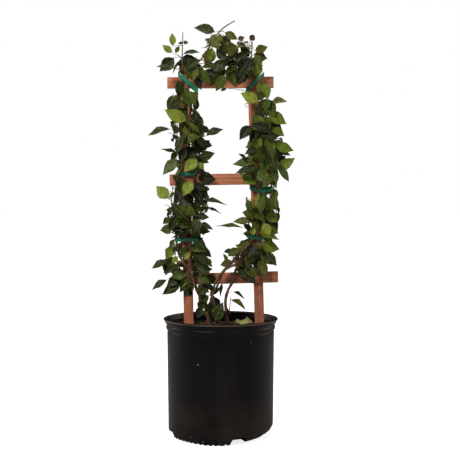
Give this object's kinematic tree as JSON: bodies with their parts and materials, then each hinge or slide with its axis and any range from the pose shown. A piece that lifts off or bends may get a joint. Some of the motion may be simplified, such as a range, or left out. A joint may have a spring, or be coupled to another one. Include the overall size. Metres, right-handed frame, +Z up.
{
  "type": "potted star jasmine",
  "caption": "Star jasmine vine tied up a small wooden ladder trellis in a round black nursery pot filled with bark mix.",
  "frame": {"origin": "centre of the pot's flat underside, on the ground", "axes": "+Z up, -Y to the viewer's side with the rails and ties in front of the posts, +X to the viewer's right"},
  "size_m": [0.37, 0.2864, 1.0316],
  "materials": {
    "black_plastic": "matte, dusty",
    "bark_mix": "rough, moist",
    "stained_wood": "stained, sawn",
    "green_tape": "satin",
    "woody_stem": "bark",
    "leaf_green": "waxy leaf"
  },
  "bodies": {
    "root": {"pot": "black_plastic", "bark_mix": "bark_mix", "bough_left": "woody_stem", "foliage_base_left_back": "leaf_green", "foliage_base_left_inner": "leaf_green", "foliage_base_left_outer": "leaf_green", "foliage_base_right_back": "leaf_green", "foliage_base_right_inner": "leaf_green", "foliage_base_right_low": "leaf_green", "foliage_base_right_outer": "leaf_green", "foliage_high_left_back": "leaf_green", "foliage_high_left_inner": "leaf_green", "foliage_high_left_outer": "leaf_green", "foliage_high_right_back": "leaf_green", "foliage_high_right_inner": "leaf_green", "foliage_high_right_outer": "leaf_green", "foliage_low_left_back": "leaf_green", "foliage_low_left_inner": "leaf_green", "foliage_low_left_outer": "leaf_green", "foliage_low_right_back": "leaf_green", "foliage_low_right_inner": "leaf_green", "foliage_low_right_outer": "leaf_green", "foliage_top_arch": "leaf_green", "foliage_top_left": "leaf_green", "foliage_top_right": "leaf_green", "post_left": "stained_wood", "post_right": "stained_wood", "rail_bottom": "stained_wood", "rail_middle": "stained_wood", "rail_top": "stained_wood", "stem_left": "woody_stem", "stem_right": "woody_stem", "stem_twisted_first": "woody_stem", "stem_twisted_second": "woody_stem", "tie_left_low": "green_tape", "tie_left_middle": "green_tape", "tie_left_top": "green_tape", "tie_right_low": "green_tape", "tie_right_middle": "green_tape", "tie_right_top": "green_tape"}
  },
  "joints": []
}
